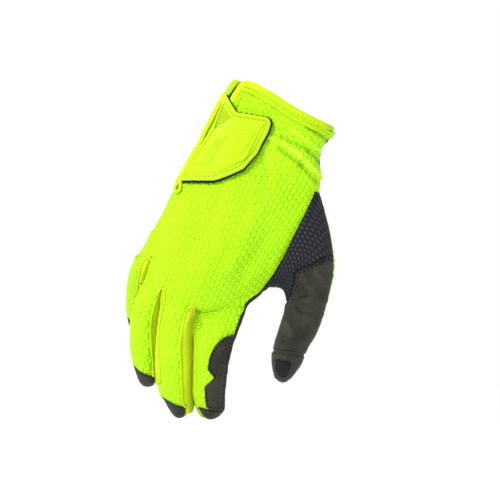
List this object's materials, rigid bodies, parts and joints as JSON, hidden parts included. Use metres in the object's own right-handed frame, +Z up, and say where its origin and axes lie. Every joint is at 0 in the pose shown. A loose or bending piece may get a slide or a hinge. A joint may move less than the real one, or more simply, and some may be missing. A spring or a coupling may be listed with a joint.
{
  "type": "motocross glove",
  "caption": "Right-hand riding glove in its worn form: knit back, suede palm and thumb, finger gussets, bound cuff with a slit and a moulded closure strap over it.",
  "frame": {"origin": "The centre of the cuff opening, where the wrist goes in.", "axes": "X to the thumb side, Y from the back of the hand to the palm, Z up towards the cuff; the fingers hang down along -Z and the palm leans 22.7 degrees. Metres."},
  "size_m": [0.1503, 0.0851, 0.2442],
  "materials": {
    "knit": "bright yellow-green embossed knit with small pinholes",
    "gusset": "smooth bright yellow-green stretch cloth",
    "moulded": "soft moulded strap, satin, faceted relief and a stitch line",
    "suede": "dark olive-grey synthetic suede with a short nap",
    "spacer": "black beaded spacer mesh",
    "black": "black hook cloth and touch-screen cloth"
  },
  "bodies": {
    "root": {"back_panel": "knit", "palm_panel": "suede", "gusset_index_middle": "gusset", "gusset_middle_ring": "gusset", "gusset_ring_pinky": "gusset", "thumb_mesh": "spacer", "thumb_pad": "suede", "thumb_tip": "suede", "thumb_back": "gusset", "strap_backing": "black", "strap_tab": "moulded", "strap_binding": "gusset", "cuff_binding": "gusset", "index_patch": "suede", "touch_patch": "black"}
  },
  "joints": []
}
